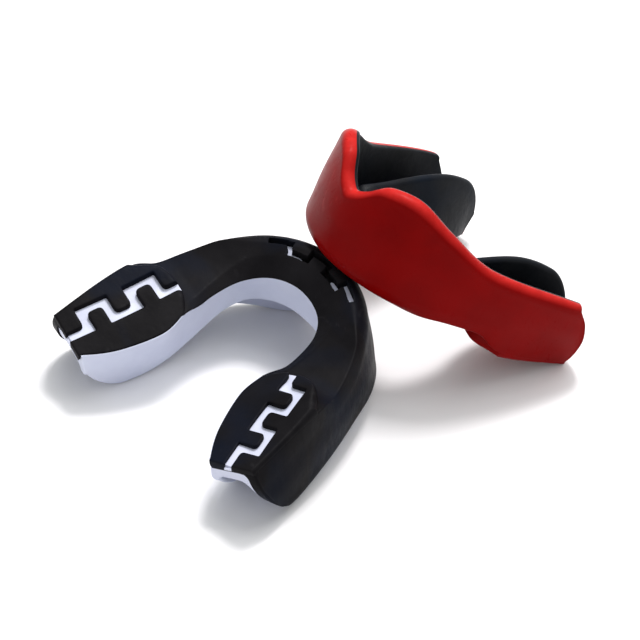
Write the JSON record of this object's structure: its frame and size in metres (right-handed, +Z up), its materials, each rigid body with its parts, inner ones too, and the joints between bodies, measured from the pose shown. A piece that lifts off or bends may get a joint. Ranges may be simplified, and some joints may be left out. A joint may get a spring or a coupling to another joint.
{
  "type": "mouthguard pair",
  "caption": "Dual-layer moulded mouthguards: U-shaped outer shell with raised grooved bite pads and a soft fit liner; one lies upside down, the other leans on it.",
  "frame": {"origin": "centre of the whole set's box, at the table plane under both guards", "axes": "+Z up from the table; +Y from the upside-down guard's open end toward the leaning guard; +X to the right seen from -Y"},
  "size_m": [0.0664, 0.0978, 0.0422],
  "materials": {
    "black_shell": "satin moulded elastomer",
    "black_liner": "soft matt-satin translucent white elastomer",
    "red_shell": "satin moulded elastomer",
    "red_liner": "satin moulded elastomer"
  },
  "bodies": {
    "black_guard": {"black_outer_shell": "black_shell", "black_fit_liner": "black_liner", "black_front_inlay": "black_liner", "black_left_bite_pad_cheek_half": "black_shell", "black_left_bite_pad_tongue_half": "black_shell", "black_left_pad_inlay": "black_liner", "black_right_bite_pad_cheek_half": "black_shell", "black_right_bite_pad_tongue_half": "black_shell", "black_right_pad_inlay": "black_liner"},
    "red_guard": {"red_outer_shell": "red_shell", "red_fit_liner": "red_liner", "red_front_inlay": "red_liner", "red_left_bite_pad_cheek_half": "red_shell", "red_left_bite_pad_tongue_half": "red_shell", "red_left_pad_inlay": "red_liner", "red_right_bite_pad_cheek_half": "red_shell", "red_right_bite_pad_tongue_half": "red_shell", "red_right_pad_inlay": "red_liner"}
  },
  "joints": [
    {"name": "lift_off", "type": "slide", "parent": "black_guard", "child": "red_guard", "axis": [0, 0, 1], "range_m": [0, 0.05]}
  ]
}
